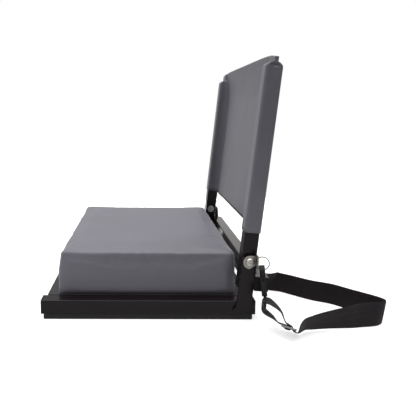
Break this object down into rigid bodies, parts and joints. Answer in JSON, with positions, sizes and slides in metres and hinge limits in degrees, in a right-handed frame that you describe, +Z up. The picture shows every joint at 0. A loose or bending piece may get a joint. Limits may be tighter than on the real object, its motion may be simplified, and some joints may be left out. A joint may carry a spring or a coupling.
{
  "type": "stadium chair",
  "caption": "Folding stadium chair: padded vinyl seat on a square-tube steel base, hinged back in a vinyl sleeve, and a webbing shoulder strap on snap hooks.",
  "frame": {"origin": "on the floor, below the middle of the base, at the underside of the base pad", "axes": "+Z up; the sitter faces -Y; +X is the sitter's left, along the hinge axis"},
  "size_m": [0.5854, 0.6026, 0.4627],
  "materials": {
    "paint": "gloss",
    "plastic": "satin",
    "pad": "matte",
    "board": "matte",
    "foam": "matte",
    "vinyl": "satin",
    "zinc": "satin",
    "nylon": "satin",
    "ring_steel": "satin",
    "webbing": "matte"
  },
  "bodies": {
    "base": {"side_rail_left": "paint", "side_rail_right": "paint", "front_rail": "paint", "rear_rail": "paint", "rail_plug_front_left": "plastic", "rail_plug_front_right": "plastic", "rail_plug_rear_left": "plastic", "rail_plug_rear_right": "plastic", "base_pad": "pad", "post_left": "paint", "post_right": "paint", "seat_board": "board", "board_screw_front_left": "zinc", "board_screw_front_right": "zinc", "board_screw_rear_left": "zinc", "board_screw_rear_right": "zinc", "seat_foam": "foam", "seat_cover": "vinyl", "pivot_bolt_left": "zinc", "pivot_bolt_right": "zinc", "post_washer_left": "nylon", "post_washer_right": "nylon", "inner_washer_left": "zinc", "inner_washer_right": "zinc", "pivot_nut_left": "zinc", "pivot_nut_right": "zinc", "strap_bracket_left": "zinc", "strap_bracket_right": "zinc", "shoulder_strap": "webbing", "strap_slider": "zinc"},
    "back": {"back_upright_left": "paint", "back_upright_right": "paint", "upright_cap_left": "plastic", "upright_cap_right": "plastic", "pivot_bushing_left": "nylon", "pivot_bushing_right": "nylon", "back_plug_left": "plastic", "back_plug_right": "plastic", "back_crossbar": "paint", "crossbar_plug_left": "plastic", "crossbar_plug_right": "plastic", "back_cover": "vinyl"},
    "ring_left": {"split_ring_left": "ring_steel"},
    "hook_left": {"snap_hook_left": "plastic"},
    "gate_left": {"hook_gate_left": "plastic"},
    "swivel_left": {"swivel_eye_left": "plastic"},
    "ring_right": {"split_ring_right": "ring_steel"},
    "hook_right": {"snap_hook_right": "plastic"},
    "gate_right": {"hook_gate_right": "plastic"},
    "swivel_right": {"swivel_eye_right": "plastic"}
  },
  "joints": [
    {"name": "back_fold", "type": "hinge", "parent": "base", "child": "back", "pos_m": [0, 0.174, 0.1067], "axis": [1, 0, 0], "range_deg": [0, 90]},
    {"name": "ring_turn_left", "type": "hinge", "parent": "base", "child": "ring_left", "pos_m": [0.24701, 0.19282, 0.10833], "axis": [0.9781, -0.2079, 0], "range_deg": [0, 60], "deforming": ["shoulder_strap"]},
    {"name": "hook_swing_left", "type": "hinge", "parent": "ring_left", "child": "hook_left", "pos_m": [0.24701, 0.19282, 0.09703], "axis": [-0.2064, -0.9709, -0.1219], "range_deg": [0, 45], "deforming": ["shoulder_strap"]},
    {"name": "gate_left", "type": "hinge", "parent": "hook_left", "child": "gate_left", "pos_m": [0.25617, 0.19254, 0.08373], "axis": [-0.2064, -0.9709, -0.1219], "range_deg": [0, 20], "stiffness_Nm_per_rad": 0.01, "springref_deg": -11.46},
    {"name": "swivel_left", "type": "hinge", "parent": "hook_left", "child": "swivel_left", "pos_m": [0.24701, 0.19282, 0.09703], "axis": [-0.1528, -0.091, 0.9841], "range_deg": [-60, 45], "deforming": ["shoulder_strap"]},
    {"name": "ring_turn_right", "type": "hinge", "parent": "base", "child": "ring_right", "pos_m": [-0.24701, 0.19282, 0.10833], "axis": [0.9781, 0.2079, 0], "range_deg": [0, 60], "deforming": ["shoulder_strap"]},
    {"name": "hook_swing_right", "type": "hinge", "parent": "ring_right", "child": "hook_right", "pos_m": [-0.24701, 0.19282, 0.09703], "axis": [-0.2064, 0.9709, 0.1219], "range_deg": [0, 45], "deforming": ["shoulder_strap"]},
    {"name": "gate_right", "type": "hinge", "parent": "hook_right", "child": "gate_right", "pos_m": [-0.25617, 0.19254, 0.08373], "axis": [-0.2064, 0.9709, 0.1219], "range_deg": [0, 20], "stiffness_Nm_per_rad": 0.01, "springref_deg": -11.46},
    {"name": "swivel_right", "type": "hinge", "parent": "hook_right", "child": "swivel_right", "pos_m": [-0.24701, 0.19282, 0.09703], "axis": [0.1528, -0.091, 0.9841], "range_deg": [-60, 12], "deforming": ["shoulder_strap"]}
  ]
}
